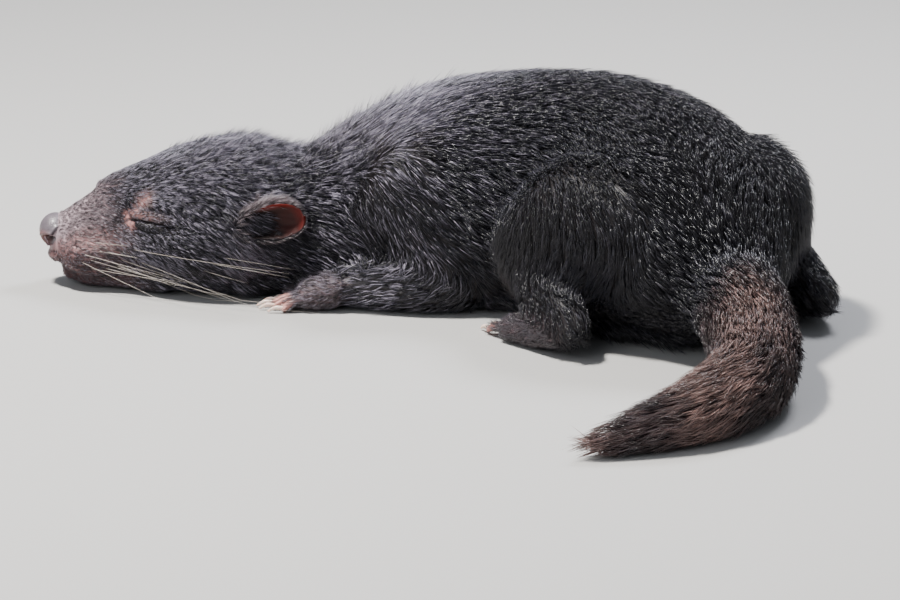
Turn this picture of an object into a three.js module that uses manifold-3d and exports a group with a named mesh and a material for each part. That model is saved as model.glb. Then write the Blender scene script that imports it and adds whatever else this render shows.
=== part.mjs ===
// A young Tasmanian devil asleep on its belly, at life size, in millimetres with +Z up.
// The chin, belly, forepaws, hind feet and tail rest on the floor. The nose points along -X, the left
// side faces -Y, and the back curls to the left, so that the tail comes round in front of the belly.
// Places on the animal are given as (s, t, z): s runs along the spine from the nose tip to the tail tip,
// t is out to the right of the spine, so the left side is negative, and z is above the floor.

import * as THREE from 'three';
import { mergeVertices } from 'three/addons/utils/BufferGeometryUtils.js';
import Module from 'manifold-3d';

const wasm = await Module();
wasm.setup();

// Driving dimensions
const noseToRump = 462;
const tailLength = 200;
const tailTip = noseToRump + tailLength;
const trunkBend = THREE.MathUtils.degToRad(72);
const tailBend = THREE.MathUtils.degToRad(85);
const hindquarters = 375;
const gap = 0.3;
const lipGap = 0.7;
const fingers = 5;
const toes = 4;
const sides = [['left', -1], ['right', 1]];

// Colours of the coat, the bare skin and the claws
const coat = new THREE.MeshStandardMaterial({ color: 0x14121a, roughness: 0.62, metalness: 0 });
const tailCoat = new THREE.MeshStandardMaterial({ color: 0x2a1f20, roughness: 0.65, metalness: 0 });
const footSkin = new THREE.MeshStandardMaterial({ color: 0x7d6460, roughness: 0.6, metalness: 0 });
const lidSkin = new THREE.MeshStandardMaterial({ color: 0x5b4243, roughness: 0.55, metalness: 0 });
const nosePad = new THREE.MeshStandardMaterial({ color: 0x3a3036, roughness: 0.32, metalness: 0 });
const earSkin = new THREE.MeshStandardMaterial({ color: 0x6e2a28, roughness: 0.5, metalness: 0 });
const clawHorn = new THREE.MeshStandardMaterial({ color: 0xe6cdb8, roughness: 0.35, metalness: 0 });

// The spine seen from above: straight through the head and shoulders, then bent to the left.
function spineHeading(s) {
  const trunk = THREE.MathUtils.smoothstep(s, 165, 425);
  const tail = THREE.MathUtils.smoothstep(s, noseToRump - 10, tailTip);
  return trunk * trunkBend + tail * tailBend;
}

const spinePlan = [new THREE.Vector2(0, 0)];
for (let s = 0; s < tailTip + 20; s++) {
  const turn = spineHeading(s + 0.5);
  spinePlan.push(new THREE.Vector2(Math.cos(turn), -Math.sin(turn)).add(spinePlan[s]));
}

// A place on the body. One that is given a pin keeps to the straight frame of the spine at the pin's s,
// so that what it shapes isn't bent with the back.
function onBody(s, t, z, pin = s) {
  const turn = spineHeading(pin);
  const step = THREE.MathUtils.clamp(Math.floor(pin), 0, spinePlan.length - 2);
  const foot = spinePlan[step].clone().lerp(spinePlan[step + 1], pin - step);
  const x = foot.x + Math.cos(turn) * (s - pin) + Math.sin(turn) * t;
  const y = foot.y - Math.sin(turn) * (s - pin) + Math.cos(turn) * t;
  return new THREE.Vector3(x, y, z);
}

// A closed geometry as a solid that can be joined and cut, with its faces turned outwards.
function solid(geometry) {
  const shape = geometry.clone();
  shape.deleteAttribute('normal');
  shape.deleteAttribute('uv');
  const merged = mergeVertices(shape, 1e-3);
  const vertProperties = new Float32Array(merged.attributes.position.array);
  const triVerts = new Uint32Array(merged.index.array);
  if (signedVolume(vertProperties, triVerts) < 0) {
    for (let i = 0; i < triVerts.length; i += 3) {
      [triVerts[i + 1], triVerts[i + 2]] = [triVerts[i + 2], triVerts[i + 1]];
    }
  }
  return new wasm.Manifold(new wasm.Mesh({ numProp: 3, vertProperties, triVerts }));
}

function signedVolume(points, triangles) {
  const corner = [new THREE.Vector3(), new THREE.Vector3(), new THREE.Vector3()];
  let volume = 0;
  for (let i = 0; i < triangles.length; i += 3) {
    corner.forEach((c, k) => c.fromArray(points, 3 * triangles[i + k]));
    volume += corner[0].dot(corner[1].cross(corner[2])) / 6;
  }
  return volume;
}

function joined(solids) {
  return solids.reduce((whole, piece) => whole.add(piece));
}

// A fleshy form: smooth rings along a path, with rounded ends. A station is
// { at: [s, t, z], wide, high, egg }: half its width and height, and how far its widest line sits low.
// A swelling { at, reach, rise } lifts the form by its rise, fading over its reach in x, y and z.
function fleshy(stations, options = {}) {
  const { around = 20, rowsEach = 3, capRows = 3, cap = 1, square = 2.15, grow = 0, swellings = [], pin } = options;
  const path = new THREE.CatmullRomCurve3(stations.map((p) => onBody(...p.at, pin)), false, 'catmullrom', 0.5);
  const sizes = new THREE.CatmullRomCurve3(
    stations.map((p) => new THREE.Vector3(p.wide + grow, p.high + grow, p.egg ?? 0)),
    false,
    'catmullrom',
    0.5
  );
  const middleRows = rowsEach * (stations.length - 1);
  const rows = middleRows + 2 * capRows;
  const rings = [];
  for (let row = 0; row <= rows; row++) {
    const along = THREE.MathUtils.clamp((row - capRows) / middleRows, 0, 1);
    const size = sizes.getPoint(along);
    const forward = path.getTangent(along);
    const across = new THREE.Vector3(0, 0, 1).cross(forward).normalize();
    const up = forward.clone().cross(across);
    const centre = path.getPoint(along);
    const toEnd = Math.min(row, rows - row, capRows) / capRows;
    const past = Math.cos((toEnd * Math.PI) / 2) * Math.min(size.x, size.y) * cap;
    centre.addScaledVector(forward, row < capRows ? -past : past);
    rings.push({ centre, across, up, size, shrink: Math.sin((toEnd * Math.PI) / 2) });
  }
  const geometry = new THREE.SphereGeometry(1, around, rows);
  const position = geometry.attributes.position;
  for (let i = 0; i < position.count; i++) {
    const ring = rings[Math.floor(i / (around + 1))];
    const angle = (((i % (around + 1)) % around) / around) * 2 * Math.PI;
    const sideways = Math.sign(Math.cos(angle)) * Math.abs(Math.cos(angle)) ** (2 / square);
    const upwards = Math.sign(Math.sin(angle)) * Math.abs(Math.sin(angle)) ** (2 / square);
    const width = ring.size.x * ring.shrink * (1 - ring.size.z * upwards);
    const point = ring.centre
      .clone()
      .addScaledVector(ring.across, sideways * width)
      .addScaledVector(ring.up, upwards * ring.size.y * ring.shrink);
    const outward = point.clone().sub(ring.centre).normalize();
    for (const { at, reach, rise } of swellings) {
      const off = point.clone().sub(onBody(...at)).divide(new THREE.Vector3(...reach)).length();
      point.addScaledVector(outward, rise * Math.exp(-off * off));
    }
    position.setXYZ(i, point.x, point.y, point.z);
  }
  return solid(geometry);
}

// An egg of three half sizes at a place on the body, turned about its own axes in degrees.
function egg(at, halves, { tilt = [0, 0, 0], grow = 0, around = 18, rows = 12 } = {}) {
  const geometry = new THREE.SphereGeometry(1, around, rows);
  geometry.scale(halves[0] + grow, halves[1] + grow, halves[2] + grow);
  geometry.rotateX(THREE.MathUtils.degToRad(tilt[0]));
  geometry.rotateY(THREE.MathUtils.degToRad(tilt[1]));
  geometry.rotateZ(THREE.MathUtils.degToRad(tilt[2]) - spineHeading(at[0]));
  geometry.translate(...onBody(...at).toArray());
  return solid(geometry);
}

// A closed outline in the plane of s and z, carried sideways from one t to another. It is used only
// on the head, where the spine is straight.
function carried(outline, fromT, toT) {
  const shape = new THREE.Shape(outline.map(([s, z]) => new THREE.Vector2(s, z)));
  const geometry = new THREE.ExtrudeGeometry(shape, { depth: toT - fromT, bevelEnabled: false });
  geometry.rotateX(Math.PI / 2);
  geometry.translate(0, toT, 0);
  return solid(geometry);
}

// All of space ahead of or behind a plane across the spine at s.
function pastSpine(s, backward) {
  const reach = 900;
  const geometry = new THREE.BoxGeometry(reach, reach, reach);
  geometry.translate((backward ? reach : -reach) / 2, 0, 0);
  geometry.rotateZ(-spineHeading(s));
  geometry.translate(...onBody(s, 0, 0).toArray());
  return solid(geometry);
}

const underFloor = solid(new THREE.BoxGeometry(2000, 2000, 100).translate(0, 0, -50));

// Pieces in the order in which they claim their space: each later one is cut clear of the earlier ones.
const pieces = [];

function addPiece(name, material, shape, clearance) {
  pieces.push({ name, material, shape, clearance });
}

// Claws: curved cones that leave the tip of each digit and turn down to the floor.
function claw(tip, reach, thick, pin, grow = 0) {
  const [s, t, z] = tip;
  const stations = [
    { at: [s + 2.5, t, z + 0.4], wide: thick * 0.8, high: thick },
    { at: [s - reach * 0.35, t, z + 0.9], wide: thick * 0.72, high: thick * 0.95 },
    { at: [s - reach * 0.75, t, z - 0.5], wide: thick * 0.5, high: thick * 0.65 },
    { at: [s - reach, t, Math.max(z - 2.6, 0.5)], wide: thick * 0.22, high: thick * 0.3 },
  ];
  return fleshy(stations, { around: 6, rowsEach: 1, capRows: 1, square: 2, grow, pin });
}

// Digits: each starts in the palm, arches over its knuckle and comes down to the floor.
function digit(root, tip, thick, pin, grow = 0) {
  const middle = root.map((v, i) => (v + tip[i]) / 2);
  const stations = [
    { at: root, wide: thick * 1.05, high: thick * 1.05 },
    { at: [middle[0], middle[1], middle[2] + thick * 0.55], wide: thick, high: thick },
    { at: tip, wide: thick * 0.92, high: thick * 0.85 },
  ];
  return fleshy(stations, { around: 6, rowsEach: 1, capRows: 2, square: 2, grow, pin });
}

// Forelegs lie folded beside the chest with the paws beside the cheeks.
const shoulder = { s: 194, t: 42, z: 63 };
const elbow = { s: 230, t: 61, z: 23 };
const wrist = { s: 170, t: 58, z: 12 };
const foreKnuckles = { s: 147, t: 55, z: 7 };
const forePaw = { halfWidth: 12.5, halfHeight: 7.4, digit: 2.6, spread: 5.3, reach: 18, claw: 6.4, clawThick: 1.2 };

// Hind legs are drawn up beside the belly with the feet flat.
const hip = { s: 408, t: 37, z: 64 };
const knee = { s: 346, t: 63, z: 42 };
const heel = { s: 408, t: 74, z: 14 };
const hindKnuckles = { s: 361, t: 81, z: 7 };
const hindFoot = { halfWidth: 13, halfHeight: 7.4, digit: 2.9, spread: 6.2, reach: 18, claw: 7, clawThick: 1.3 };

// Where the roots and tips of a paw's digits lie: the middle ones reach furthest.
function digitPlaces(knuckles, paw, count, side) {
  return Array.from({ length: count }, (_, i) => {
    const offset = i - (count - 1) / 2;
    const reach = paw.reach - 1.7 * offset * offset;
    return {
      root: [knuckles.s + 2, side * (knuckles.t + offset * paw.spread * 0.8), knuckles.z - 1],
      tip: [knuckles.s - reach + 2, side * (knuckles.t + offset * paw.spread * 1.12), paw.digit * 0.75],
    };
  });
}

function addPaw(name, clawName, side, knuckles, joint, paw, count, pin) {
  const digits = digitPlaces(knuckles, paw, count, side);
  digits.forEach(({ tip }, i) => {
    const start = [tip[0] - paw.digit * 0.7, tip[1], tip[2]];
    const shape = (grow) => claw(start, paw.claw, paw.clawThick, pin, grow);
    addPiece(`${clawName}_${i + 1}`, clawHorn, shape(0), shape(gap));
  });
  const palm = [
    { at: [joint.s, side * joint.t, joint.z], wide: paw.halfWidth * 0.74, high: paw.halfHeight * 1.05 },
    { at: [(joint.s + knuckles.s) / 2, side * (joint.t + knuckles.t) / 2, knuckles.z + 1.5],
      wide: paw.halfWidth * 0.86, high: paw.halfHeight * 1.15 },
    { at: [knuckles.s + 4, side * knuckles.t, knuckles.z - 0.5], wide: paw.halfWidth, high: paw.halfHeight },
  ];
  const shape = (grow) => joined([
    fleshy(palm, { around: 12, rowsEach: 1, capRows: 2, cap: 0.8, grow, pin }),
    ...digits.map(({ root, tip }) => digit(root, tip, paw.digit, pin, grow)),
  ]);
  addPiece(name, footSkin, shape(0), shape(gap));
}

function addForeleg(label, side) {
  addPaw(`forepaw_${label}`, `foreclaw_${label}`, side, foreKnuckles, wrist, forePaw, fingers, shoulder.s);
  const forearm = [
    { at: [elbow.s, side * elbow.t, elbow.z - 5], wide: 15, high: 18 },
    { at: [(elbow.s + wrist.s) / 2 + 6, side * (elbow.t + 1), 16], wide: 14, high: 16.5 },
    { at: [wrist.s + 8, side * wrist.t, 12.5], wide: 11, high: 12 },
  ];
  const upperArm = [
    { at: [shoulder.s, side * shoulder.t, shoulder.z], wide: 24, high: 36 },
    { at: [(shoulder.s + elbow.s) / 2 + 2, side * ((shoulder.t + elbow.t) / 2 + 1), 44], wide: 22, high: 29 },
    { at: [elbow.s - 2, side * (elbow.t - 1), elbow.z + 5], wide: 17, high: 22 },
  ];
  const lower = (grow) => fleshy(forearm, { around: 12, rowsEach: 2, capRows: 2, grow, pin: shoulder.s });
  const upper = (grow) => fleshy(upperArm, { around: 14, rowsEach: 2, capRows: 3, cap: 0.9, grow, pin: shoulder.s });
  addPiece(`forearm_${label}`, coat, lower(0), lower(gap));
  addPiece(`upper_arm_${label}`, coat, upper(0), upper(gap));
}

function addHindLeg(label, side) {
  addPaw(`hind_foot_${label}`, `hind_claw_${label}`, side, hindKnuckles, heel, hindFoot, toes, hindquarters);
  const shankStations = [
    { at: [knee.s + 10, side * (knee.t + 4), knee.z - 8], wide: 17, high: 20 },
    { at: [(knee.s + heel.s) / 2 + 6, side * (knee.t + 8), 25], wide: 15, high: 18 },
    { at: [heel.s + 5, side * (heel.t - 1), heel.z + 3], wide: 11, high: 13 },
  ];
  const thighStations = [
    { at: [hip.s, side * hip.t, hip.z], wide: 26, high: 34 },
    { at: [(hip.s + knee.s) / 2, side * ((hip.t + knee.t) / 2 + 2), 57], wide: 31, high: 41 },
    { at: [knee.s + 3, side * knee.t, knee.z + 1], wide: 24, high: 31 },
  ];
  const shank = (grow) => fleshy(shankStations, { around: 12, rowsEach: 2, capRows: 2, grow, pin: hindquarters });
  const thigh = (grow) => fleshy(thighStations, { around: 16, rowsEach: 2, capRows: 4, cap: 0.9, grow, pin: hindquarters });
  addPiece(`shank_${label}`, coat, shank(0), shank(gap));
  addPiece(`thigh_${label}`, coat, thigh(0), thigh(gap));
}

// Nose pad: a bare rounded pad with a comma-shaped nostril on each side and a groove down the front.
function addNose() {
  const at = [8.2, 0, 29.5];
  const halves = [8.7, 10.5, 9.5];
  const nostrils = sides.flatMap(([, side]) => [
    egg([5.2, side * 7.4, 25.6], [3.6, 3.8, 3], { around: 7, rows: 4 }),
    egg([9.6, side * 10.1, 28.2], [4.4, 2.9, 1.5], { tilt: [0, -24, 0], around: 7, rows: 4 }),
  ]);
  const groove = carried([[-4, 36], [1.5, 35], [0.5, 29.5], [2.9, 19], [-4, 19]], -0.4, 0.4);
  const pad = egg(at, halves, { around: 16, rows: 10 }).subtract(joined([...nostrils, groove]));
  addPiece('nose', nosePad, pad, egg(at, halves, { grow: gap, around: 16, rows: 10 }));
}

// Eyelids: a low dome of closed lids on each side, parted by a slit that is nearly level.
function addEyelids(label, side) {
  const at = [64.5, side * 30.6, 40.8];
  const halves = [15.5, 7.2, 7.4];
  const shape = { tilt: [0, 3, side * 26], around: 14, rows: 6 };
  const slit = [[47, 42], [56, 42.9], [64, 42.4], [79, 40.6], [79, 39.6], [64, 41.2], [56, 41.7], [47, 41]];
  const cutter = carried(slit, Math.min(side * 20, side * 60), Math.max(side * 20, side * 60))
    .subtract(egg(at, halves, { ...shape, grow: -1.5 }));
  const lids = egg(at, halves, shape).subtract(cutter);
  addPiece(`eyelids_${label}`, lidSkin, lids, egg(at, halves, { ...shape, grow: gap }));
}

// Ears: open cups of thin skin laid back along the neck, narrow at the root and rounded at the tip.
function addEar(label, side) {
  const cupOf = (wall, outwards, grow) => fleshy([
    { at: [114, side * (44.5 + outwards), 42], wide: 6 - wall, high: 6.5 - wall },
    { at: [123, side * (47 + outwards), 45], wide: 8 - wall, high: 9.5 - wall },
    { at: [133, side * (50 + outwards), 47.5], wide: 8 - wall, high: 11 - wall },
    { at: [141.5, side * (52.5 + outwards), 49], wide: 6 - wall, high: 9 - wall },
  ], { around: 14, rowsEach: 2, capRows: 2, grow });
  const cup = cupOf(0, 0, 0).subtract(cupOf(1.3, 4.5, 0));
  addPiece(`ear_${label}`, earSkin, cup, cupOf(0, 0, gap));
}

// The mouth line runs back from under the nose to the corner below the eye, and the wedge under it
// belongs to the lower jaw.
function jawWedge(lift) {
  const mouthLine = [[-6, 16.5], [10, 13], [20, 10], [31, 8.6], [44, 9.6], [54, 12.4], [60, 15.6]];
  return carried([...mouthLine.map(([s, z]) => [s, z + lift]), [66, 13.5], [70, 8], [71, -8], [-6, -8]], -70, 70);
}

// Stations of the head and trunk. Each holds its place on the spine, half its width, its lowest and
// highest levels, and how low its widest line sits.
const bodyStations = [
  { s: 12, wide: 12.5, low: 9, high: 39, egg: 0.1 },
  { s: 19, wide: 17.5, low: 4, high: 43.5, egg: 0.16 },
  { s: 28, wide: 20.5, low: 0, high: 48, egg: 0.2 },
  { s: 38, wide: 24, low: -2, high: 53.2, egg: 0.22 },
  { s: 47, wide: 28, low: -3, high: 60.5, egg: 0.22 },
  { s: 57, wide: 33.5, low: -3, high: 65.5, egg: 0.2 },
  { s: 70, wide: 40, low: -4, high: 71.5, egg: 0.17 },
  { s: 86, wide: 45.5, low: -4, high: 78, egg: 0.15 },
  { s: 103, wide: 47.5, low: -4, high: 81.8, egg: 0.14 },
  { s: 115, wide: 47, low: -4, high: 81, egg: 0.13 },
  { s: 128, wide: 46.5, low: -4, high: 77, egg: 0.13 },
  { s: 145, wide: 48, low: -4, high: 74.5, egg: 0.13 },
  { s: 166, wide: 54, low: -5, high: 83.5, egg: 0.13 },
  { s: 192, wide: 61, low: -7, high: 98.5, egg: 0.13 },
  { s: 222, wide: 66, low: -9, high: 113, egg: 0.15 },
  { s: 259, wide: 69, low: -10, high: 120.5, egg: 0.16 },
  { s: 297, wide: 70, low: -10, high: 125, egg: 0.17 },
  { s: 337, wide: 69, low: -10, high: 126, egg: 0.17 },
  { s: 374, wide: 66, low: -8, high: 121, egg: 0.15 },
  { s: 406, wide: 58, low: -4, high: 109, egg: 0.12 },
  { s: 432, wide: 45, low: 2, high: 90, egg: 0.08 },
  { s: 455, wide: 29.5, low: 11, high: 68, egg: 0.02 },
];

function bodyForm() {
  const stations = bodyStations.map(({ s, wide, low, high, egg: sag }) => ({
    at: [s, 0, (low + high) / 2],
    wide,
    high: (high - low) / 2,
    egg: sag,
  }));
  return fleshy(stations, { around: 28, rowsEach: 2, capRows: 4, cap: 0.72, swellings });
}

// Whisker pads, cheeks and brows stand a little out of the smooth form, and the eye sockets sink into it.
const swellings = sides.flatMap(([, side]) => [
  { at: [24, side * 17, 18], reach: [13, 12, 9], rise: 3 },
  { at: [88, side * 47, 22], reach: [24, 20, 22], rise: 4 },
  { at: [62, side * 32, 53], reach: [12, 10, 6], rise: 2.2 },
  { at: [47, side * 26, 41], reach: [8, 9, 8], rise: -2.4 },
  { at: [79, side * 42, 39], reach: [6, 8, 6], rise: -1.6 },
]);

// The tail: fat at its root, lying on the floor behind the rump and tapering to a blunt tip.
function tailForm(grow) {
  const stations = [
    { at: [noseToRump - 20, 0, 45], wide: 27, high: 27 },
    { at: [noseToRump + 8, 0, 36], wide: 26.5, high: 26.5 },
    { at: [noseToRump + 45, 0, 24], wide: 23.5, high: 24 },
    { at: [noseToRump + 85, 0, 20], wide: 21, high: 21.5 },
    { at: [noseToRump + 125, 0, 16.5], wide: 18, high: 18 },
    { at: [noseToRump + 160, 0, 12], wide: 13, high: 13.2 },
    { at: [noseToRump + 190, 0, 7.6], wide: 7.5, high: 8 },
  ];
  return fleshy(stations, { around: 18, rowsEach: 2, capRows: 3, cap: 1.1, grow });
}

// Cuts a long form across the spine into named lengths with a thin gap between them. The grown form is
// what its first length claims from the pieces that it is rooted in.
function addLengths(form, grownForm, material, lengths) {
  for (const [name, from, to] of lengths) {
    let length = form;
    if (from !== null) length = length.intersect(pastSpine(from + gap / 2, true));
    if (to !== null) length = length.intersect(pastSpine(to - gap / 2, false));
    const claims = from === null && grownForm ? grownForm.intersect(pastSpine(to - gap / 2, false)) : length;
    addPiece(name, material, length, claims);
  }
}

addNose();
for (const [label, side] of sides) {
  addEyelids(label, side);
  addEar(label, side);
  addForeleg(label, side);
  addHindLeg(label, side);
}
const jawStations = [
  { at: [17, 0, 7], wide: 9, high: 7.6 },
  { at: [27, 0, 8], wide: 14.5, high: 9.5 },
  { at: [42, 0, 9], wide: 21, high: 11 },
  { at: [60, 0, 10], wide: 32, high: 13 },
  { at: [86, 0, 10], wide: 42, high: 14 },
];
const jaw = fleshy(jawStations, { around: 18, rowsEach: 2, capRows: 3, square: 2.4 }).intersect(jawWedge(0));
addPiece('lower_jaw', coat, jaw, jawWedge(lipGap));
addLengths(tailForm(0), tailForm(gap), tailCoat, [
  ['tail_root', null, noseToRump + 66],
  ['tail_middle', noseToRump + 66, noseToRump + 132],
  ['tail_tip', noseToRump + 132, null],
]);
addLengths(bodyForm(), null, coat, [
  ['head', null, 127],
  ['neck', 127, 170],
  ['chest', 170, 250],
  ['belly', 250, 345],
  ['rump', 345, null],
]);

function boxesMeet(a, b) {
  const first = a.boundingBox();
  const second = b.boundingBox();
  return [0, 1, 2].every((k) => first.min[k] < second.max[k] && second.min[k] < first.max[k]);
}

function largestBody(shape) {
  return shape.decompose().reduce((best, body) => (body.volume() > best.volume() ? body : best));
}

const group = new THREE.Group();
pieces.forEach(({ name, material, shape }, i) => {
  const inTheWay = pieces.slice(0, i).filter((other) => boxesMeet(shape, other.clearance));
  let cut = shape.subtract(underFloor);
  for (const other of inTheWay) cut = cut.subtract(other.clearance);
  const mesh = largestBody(cut).getMesh();
  const geometry = new THREE.BufferGeometry();
  geometry.setAttribute('position', new THREE.BufferAttribute(mesh.vertProperties, 3));
  geometry.setIndex(new THREE.BufferAttribute(mesh.triVerts, 1));
  const node = new THREE.Mesh(geometry, material);
  node.name = name;
  group.add(node);
});

// The origin is on the floor, under the middle of the whole animal.
const box = new THREE.Box3().setFromObject(group, true);
const middle = box.getCenter(new THREE.Vector3());
group.children.forEach((node) => node.position.set(-middle.x, -middle.y, 0));

export default group;
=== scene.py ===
"""A young Tasmanian devil asleep on its belly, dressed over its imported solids, in metres with +Z up."""
import math

import bpy
import numpy as np
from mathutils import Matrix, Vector
from mathutils.bvhtree import BVHTree
from mathutils.kdtree import KDTree


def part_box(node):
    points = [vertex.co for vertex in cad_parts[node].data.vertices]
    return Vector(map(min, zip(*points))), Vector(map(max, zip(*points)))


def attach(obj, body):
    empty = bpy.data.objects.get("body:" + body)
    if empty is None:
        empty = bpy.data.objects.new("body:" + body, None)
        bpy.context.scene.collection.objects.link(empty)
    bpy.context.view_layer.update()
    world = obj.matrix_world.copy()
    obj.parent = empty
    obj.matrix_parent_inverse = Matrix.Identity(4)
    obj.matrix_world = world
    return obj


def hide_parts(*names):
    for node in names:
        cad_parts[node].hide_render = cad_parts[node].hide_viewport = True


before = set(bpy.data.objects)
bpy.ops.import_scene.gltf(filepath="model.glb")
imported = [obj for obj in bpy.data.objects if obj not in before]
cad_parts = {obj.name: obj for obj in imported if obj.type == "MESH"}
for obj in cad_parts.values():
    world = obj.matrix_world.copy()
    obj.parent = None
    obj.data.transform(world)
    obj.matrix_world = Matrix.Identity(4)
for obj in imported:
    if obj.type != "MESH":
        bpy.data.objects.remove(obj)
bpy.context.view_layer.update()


# Camera
# It looks at the animal's left side from a little above, as the photograph does. The nose tip lies at
# its pixel of the photograph, and the scale lets the whole curled animal into the frame.
mm = 0.001
nose_low, nose_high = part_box("nose")
nose_tip = Vector((nose_low.x, (nose_low.y + nose_high.y) / 2, (nose_low.z + nose_high.z) / 2))
photo_width, photo_height = 900, 600
nose_pixel = (39, 229.3)
pixels_per_metre = 1830
camera_distance = 2.4
camera_elevation = math.radians(15)
right_way = Vector((1, 0, 0))
up_way = Vector((0, math.sin(camera_elevation), math.cos(camera_elevation)))
look_way = Vector((0, math.cos(camera_elevation), -math.sin(camera_elevation)))
aim = (
    nose_tip
    + right_way * (photo_width / 2 - nose_pixel[0]) / pixels_per_metre
    - up_way * (photo_height / 2 - nose_pixel[1]) / pixels_per_metre
)
bpy.ops.object.camera_add(location=aim - look_way * camera_distance)
camera = bpy.context.object
camera.name = "camera"
camera.rotation_euler = look_way.to_track_quat("-Z", "Y").to_euler()
camera.data.sensor_width = 36
camera.data.lens = camera.data.sensor_width * camera_distance * pixels_per_metre / photo_width
camera.data.clip_end = 50
bpy.context.scene.camera = camera


# Floor and light
# A plain pale floor, a small strong light from high over the head, hard as the sun in the photograph, a
# cool one behind the back, a weak broad one in front, and a pale sky all round.
def deselect_all():
    for shown in bpy.context.selected_objects:
        shown.select_set(False)


deselect_all()
floor_size, floor_drop = 14, 0.0005
bpy.ops.mesh.primitive_plane_add(size=floor_size, location=(0, 2, -floor_drop))
floor = bpy.context.object
floor.name = "floor"
floor_paint = bpy.data.materials.new("pale floor")
floor_paint.use_nodes = True
floor_shader = floor_paint.node_tree.nodes["Principled BSDF"]
floor_shader.inputs["Base Color"].default_value = (0.36, 0.355, 0.345, 1)
floor_shader.inputs["Roughness"].default_value = 0.75
floor.data.materials.append(floor_paint)


def add_softbox(name, place, target, size, watts, tint):
    bpy.ops.object.light_add(type="AREA", location=place)
    lamp = bpy.context.object
    lamp.name = name
    lamp.data.shape = "DISK"
    lamp.data.size = size
    lamp.data.energy = watts
    lamp.data.color = tint
    lamp.rotation_euler = (Vector(target) - Vector(place)).to_track_quat("-Z", "Y").to_euler()


add_softbox("sun side", (-0.55, -0.10, 1.6), (-0.05, 0.05, 0.05), 0.20, 96, (1.0, 0.97, 0.93))
add_softbox("back rim", (0.55, 0.75, 1.2), (0, 0.05, 0.05), 0.5, 26, (0.90, 0.92, 1.0))
add_softbox("front fill", (-0.9, -1.5, 1.0), (0, 0.05, 0.05), 1.4, 13, (0.93, 0.96, 1.0))
sky = bpy.data.worlds.new("pale sky")
bpy.context.scene.world = sky
sky.use_nodes = True
sky.node_tree.nodes["Background"].inputs["Color"].default_value = (0.80, 0.86, 0.96, 1)
sky.node_tree.nodes["Background"].inputs["Strength"].default_value = 0.38


# Skin
# One skin without a seam under the whole coat, made from the body's lengths, limbs, paws, jaw and lids.
# They are grown into each other, remeshed as one, smoothed where the coat is thick, and drawn in by the
# depth of the coat.
nose_to_rump, tail_length = 462, 200
trunk_bend, trunk_bent = math.radians(72), (165, 425)
tail_bend, tail_bent = math.radians(85), (nose_to_rump - 10, nose_to_rump + tail_length)
shoulder_pin, hip_pin = 194, 375


def ease(value, low, high):
    share = np.clip((value - low) / (high - low), 0, 1)
    return share * share * (3 - 2 * share)


spine_marks = np.arange(0, nose_to_rump + tail_length + 20)


def spine_turn(s):
    return trunk_bend * ease(s, *trunk_bent) + tail_bend * ease(s, *tail_bent)


spine_steps = np.stack([np.cos(spine_turn(spine_marks + 0.5)), -np.sin(spine_turn(spine_marks + 0.5))], 1)
spine_start = np.array([nose_low.x / mm + 0.5, nose_tip.y / mm])
spine_plan = spine_start + np.vstack([[0, 0], np.cumsum(spine_steps, 0)[:-1]])


def on_body(s, t, z, pin=None):
    """The place in metres of a point in millimetres along the spine, to its right and above the floor."""
    at = s if pin is None else pin
    turn = spine_turn(at)
    plan = spine_plan[int(at)] + (at - int(at)) * spine_steps[int(at)]
    x = plan[0] + math.cos(turn) * (s - at) + math.sin(turn) * t
    y = plan[1] - math.sin(turn) * (s - at) + math.cos(turn) * t
    return np.array([x, y, z]) * mm


def along_spine(points):
    """How far along the spine and how far to its right each point lies, in millimetres."""
    spine_tree = KDTree(len(spine_plan))
    for mark, (x, y) in enumerate(spine_plan):
        spine_tree.insert((x, y, 0), mark)
    spine_tree.balance()
    flat = (points * [1, 1, 0] / mm).tolist()
    places = np.array([spine_tree.find(point)[1] for point in flat])
    turn = spine_turn(places)
    off = points[:, :2] / mm - spine_plan[places.astype(int)]
    ahead = off[:, 0] * np.cos(turn) - off[:, 1] * np.sin(turn)
    right = off[:, 0] * np.sin(turn) + off[:, 1] * np.cos(turn)
    return places + ahead, right


def only(thing):
    deselect_all()
    thing.select_set(True)
    bpy.context.view_layer.objects.active = thing


def apply_modifier(thing, kind, **settings):
    only(thing)
    modifier = thing.modifiers.new(kind, kind)
    for setting, value in settings.items():
        setattr(modifier, setting, value)
    bpy.ops.object.modifier_apply(modifier=modifier.name)


def corners_of(mesh):
    flat = np.empty(len(mesh.vertices) * 3)
    mesh.vertices.foreach_get("co", flat)
    return flat.reshape(-1, 3)


def normals_of(mesh):
    flat = np.empty(len(mesh.vertices) * 3)
    mesh.vertex_normals.foreach_get("vector", flat)
    return flat.reshape(-1, 3)


def set_corners(mesh, points):
    mesh.vertices.foreach_set("co", points.ravel())
    mesh.update()


def copy_of(node):
    """A loose copy of a solid, without its tags of the frame."""
    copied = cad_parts[node].copy()
    copied.data = copied.data.copy()
    copied.parent = None
    for key in [key for key in copied.keys() if key.startswith("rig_")]:
        del copied[key]
    bpy.context.scene.collection.objects.link(copied)
    return copied


def joined(copies, name):
    """The copies as one object without materials, its loose triangles merged."""
    only(copies[0])
    for copied in copies[1:]:
        copied.select_set(True)
    if len(copies) > 1:
        bpy.ops.object.join()
    whole = copies[0]
    whole.name = whole.data.name = name
    whole.data.materials.clear()
    bpy.ops.object.mode_set(mode="EDIT")
    bpy.ops.mesh.select_all(action="SELECT")
    bpy.ops.mesh.remove_doubles(threshold=0.02 * mm)
    bpy.ops.object.mode_set(mode="OBJECT")
    return whole


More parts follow.
